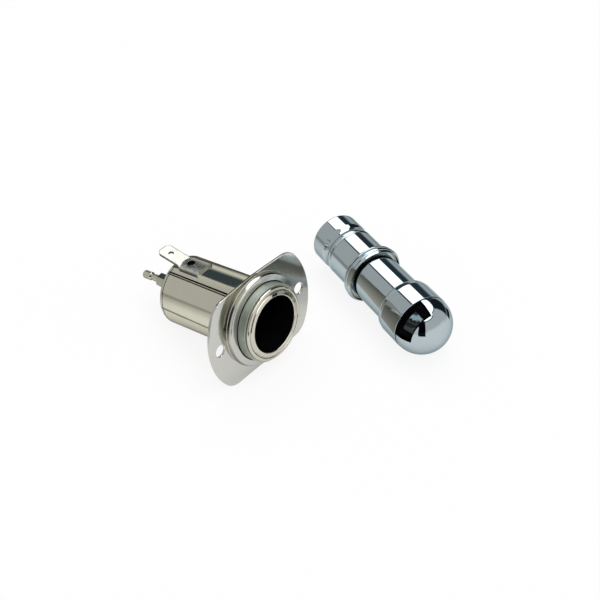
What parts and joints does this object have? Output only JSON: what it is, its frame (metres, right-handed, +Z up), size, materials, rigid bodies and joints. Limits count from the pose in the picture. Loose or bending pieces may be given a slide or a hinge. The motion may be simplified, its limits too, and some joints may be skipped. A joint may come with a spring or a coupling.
{
  "type": "car cigarette lighter",
  "caption": "Push-in car cigarette lighter taken out beside its flanged dashboard socket, with heating element, sprung knob, contact clip and rear terminals.",
  "frame": {"origin": "on the surface both halves rest on, below the middle of their common bounding box", "axes": "+X the way the socket's mouth looks, along the surface; +Y across it towards the lighter; +Z up from the surface"},
  "size_m": [0.1134, 0.0998, 0.037],
  "materials": {
    "nickel": "nickel-plated, bright drawn",
    "flange_nickel": "nickel-plated, satin bright",
    "zinc": "passivated, satin grey-green",
    "tin": "tin-plated, satin",
    "chrome": "polished",
    "spring_steel": "satin",
    "bronze": "satin",
    "black_insert": "glossy",
    "smoked_lens": "glossy, smoked",
    "bakelite": "satin",
    "white_ceramic": "matt",
    "coil_alloy": "heat-darkened"
  },
  "bodies": {
    "socket": {"socket_barrel": "nickel", "spacer_ring": "zinc", "mounting_flange": "flange_nickel", "outer_can": "nickel", "ground_terminal": "tin", "ground_rivet": "nickel", "retaining_springs": "bronze", "contact_clip": "bronze", "contact_stud": "nickel", "inner_insulator": "bakelite", "spacer_bush": "spring_steel", "rear_insulator": "bakelite", "plain_washer": "nickel", "lock_washer": "spring_steel", "live_terminal": "nickel"},
    "lighter": {"lighter_sleeve": "chrome", "collar_ring": "chrome", "guide_bush": "bronze", "return_spring": "spring_steel"},
    "knob": {"neck_tube": "chrome", "spring_seat": "bronze", "head_band": "chrome", "dome_cap": "chrome", "window_insert": "black_insert", "window_lens": "smoked_lens", "spindle": "spring_steel", "spindle_clip": "spring_steel", "ceramic_insulator": "white_ceramic", "element_cup": "spring_steel", "heating_coil": "coil_alloy", "element_rivet": "spring_steel"}
  },
  "joints": [
    {"name": "lighter_lift", "type": "slide", "parent": "socket", "child": "lighter", "axis": [0, 0, 1], "range_m": [0, 0.06]},
    {"name": "knob_slide", "type": "slide", "parent": "lighter", "child": "knob", "axis": [-0.9309, 0.3648, 0.0165], "range_m": [0, 0.007], "stiffness_N_per_m": 250, "springref_m": -0.006, "deforming": ["return_spring"]}
  ]
}
